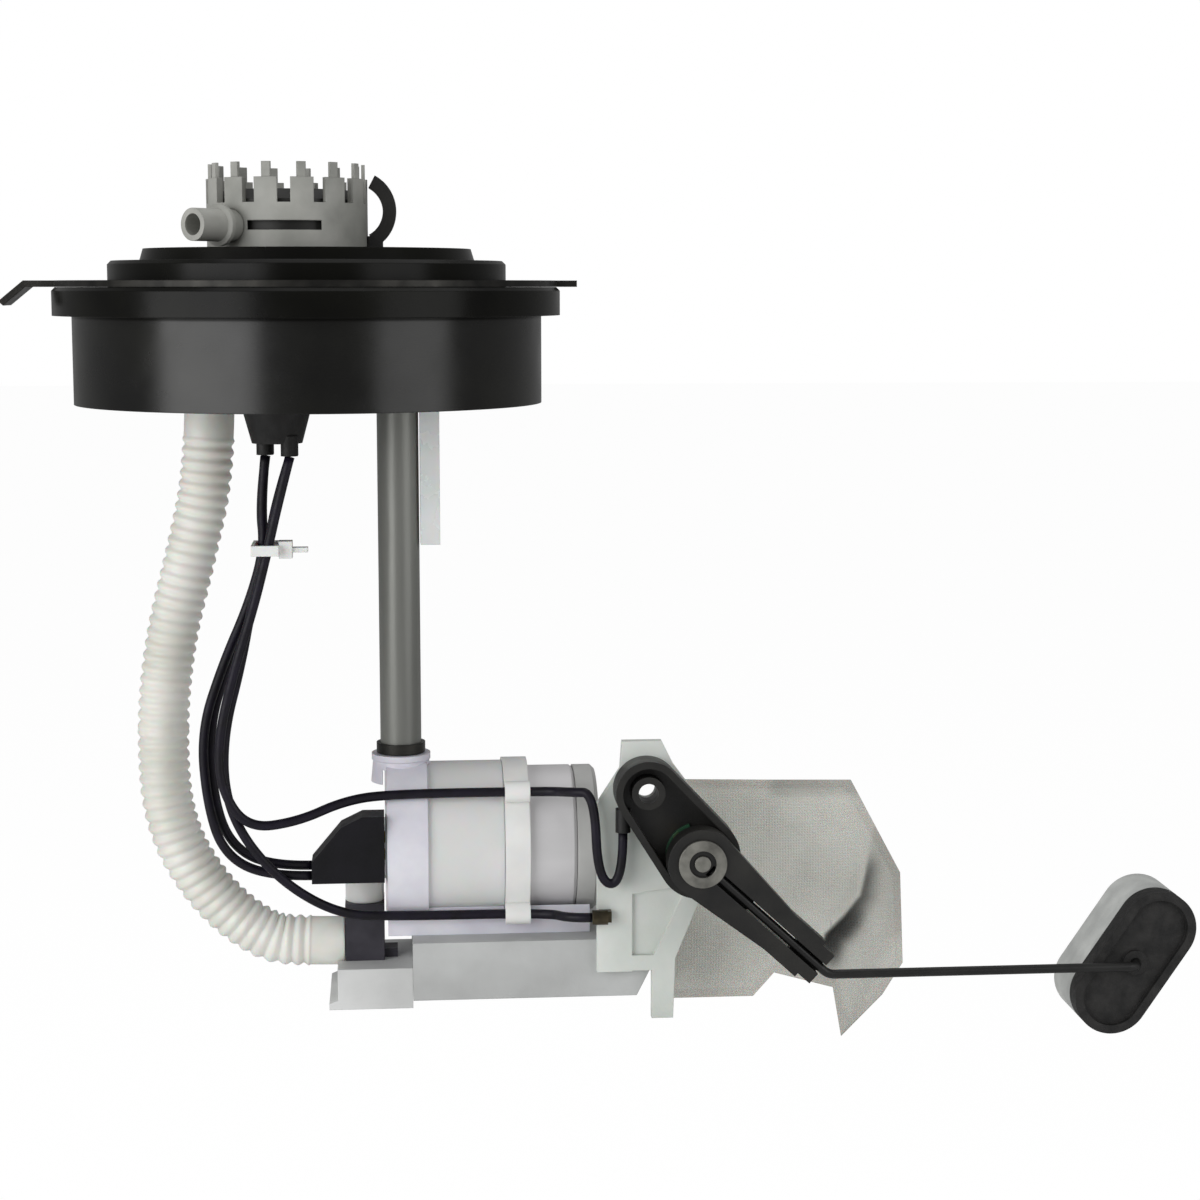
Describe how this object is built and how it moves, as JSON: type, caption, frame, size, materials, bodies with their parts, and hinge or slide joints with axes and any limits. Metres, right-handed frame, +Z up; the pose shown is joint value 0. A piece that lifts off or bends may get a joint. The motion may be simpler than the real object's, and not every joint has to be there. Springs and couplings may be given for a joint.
{
  "type": "in-tank fuel pump module",
  "caption": "Hanging fuel pump module: drum flange with filter can, sliding post, horizontal pump in a cradle, hose, wires, mesh strainer and swinging float arm.",
  "frame": {"origin": "centre of the drum flange, level with the underside of its rim", "axes": "+Z up out of the tank along the drum's axis, +X towards the float, -Y the side with the level sender"},
  "size_m": [0.2998, 0.131, 0.2297],
  "materials": {
    "black_nylon": "moulded black nylon, satin",
    "black_plastic": "moulded black acetal, satin gloss",
    "brass": "stamped strip",
    "carbon": "pressed carbon",
    "card": "fired ceramic card",
    "clear_plastic": "milky translucent nylon",
    "copper": "enamelled copper wire",
    "dark_steel": "black coated spring steel",
    "ferrite": "sintered ferrite",
    "float_black": "closed cell float, black",
    "float_grey": "closed cell float, grey",
    "grey_plastic": "moulded grey acetal",
    "hose_nylon": "natural corrugated nylon",
    "iron": "laminated iron",
    "mesh": "fine woven nylon mesh",
    "pale_plastic": "moulded pale grey acetal",
    "paper": "pleated filter paper",
    "rubber": "fuel resistant rubber",
    "spring_steel": "drawn spring wire",
    "steel": "zinc plated steel",
    "tray_plastic": "moulded mid grey acetal",
    "white_plastic": "natural white acetal",
    "wire_black": "black insulated lead"
  },
  "bodies": {
    "flange": {"flange_cup": "black_plastic", "cup_floor": "black_plastic", "tank_seal": "rubber", "filter_can": "steel", "filter_crown": "grey_plastic", "supply_nipple": "grey_plastic", "filter_element": "paper", "regulator_body": "steel", "regulator_diaphragm": "rubber", "regulator_spring": "spring_steel", "can_clip": "dark_steel", "connector_socket": "black_plastic", "connector_blades": "brass", "wire_boot": "rubber", "guide_leg": "clear_plastic", "zip_tie": "white_plastic"},
    "ring": {"lock_ring": "dark_steel"},
    "regulator": {"regulator_valve": "brass"},
    "carrier": {"guide_post": "steel", "post_ferrule": "dark_steel", "post_spring": "spring_steel", "pump_can": "steel", "pump_sleeve": "clear_plastic", "pump_band": "white_plastic", "outlet_cover": "white_plastic", "inlet_cover": "white_plastic", "pump_plate": "white_plastic", "pump_magnets": "ferrite", "pump_brushes": "carbon", "outlet_elbow": "black_nylon", "check_spring": "spring_steel", "pump_plug": "black_nylon", "pump_terminals": "brass", "cradle": "white_plastic", "base_tray": "tray_plastic", "foot": "pale_plastic", "strainer": "mesh", "sender_bracket": "white_plastic", "sender_housing": "black_nylon", "sender_card": "card", "pivot_pin": "steel", "sender_terminal": "brass", "hose": "hose_nylon", "pump_wire_one": "wire_black", "pump_wire_two": "wire_black", "sender_wire_one": "wire_black", "sender_wire_two": "wire_black"},
    "rotor": {"rotor_shaft": "steel", "rotor_core": "iron", "rotor_windings": "copper", "commutator": "copper", "impeller": "black_nylon"},
    "check_valve": {"check_poppet": "white_plastic"},
    "arm": {"arm_holder": "black_nylon", "arm_wiper": "brass", "hub_ring": "steel", "float_rod": "dark_steel", "float_nut": "steel"},
    "float": {"float_body": "float_grey", "float_cap": "float_black"}
  },
  "joints": [
    {"name": "ring_turn", "type": "hinge", "parent": "flange", "child": "ring", "pos_m": [0, 0, 0.00785], "axis": [0, 0, 1], "range_deg": [0, 20]},
    {"name": "regulator_lift", "type": "slide", "parent": "flange", "child": "regulator", "axis": [0, 0, 1], "range_m": [0, 0.0008], "stiffness_N_per_m": 400, "springref_m": -0.002, "deforming": ["regulator_spring"]},
    {"name": "carrier_slide", "type": "slide", "parent": "flange", "child": "carrier", "axis": [0, 0, 1], "range_m": [0, 0.018], "stiffness_N_per_m": 300, "springref_m": -0.02, "deforming": ["post_spring", "hose", "pump_wire_one", "pump_wire_two", "sender_wire_one", "sender_wire_two"]},
    {"name": "rotor_spin", "type": "hinge", "parent": "carrier", "child": "rotor", "pos_m": [0.0455, 0, -0.1362], "axis": [1, 0, 0], "continuous": true},
    {"name": "check_lift", "type": "slide", "parent": "carrier", "child": "check_valve", "axis": [0, 0, -1], "range_m": [0, 0.0015], "stiffness_N_per_m": 60, "springref_m": -0.002, "deforming": ["check_spring"]},
    {"name": "arm_swing", "type": "hinge", "parent": "carrier", "child": "arm", "pos_m": [0.096, -0.0365, -0.1346], "axis": [0, -1, 0], "range_deg": [0, 65]},
    {"name": "float_swivel", "type": "hinge", "parent": "arm", "child": "float", "pos_m": [0.20807, -0.026, -0.16399], "axis": [0, 1, 0], "continuous": true}
  ]
}
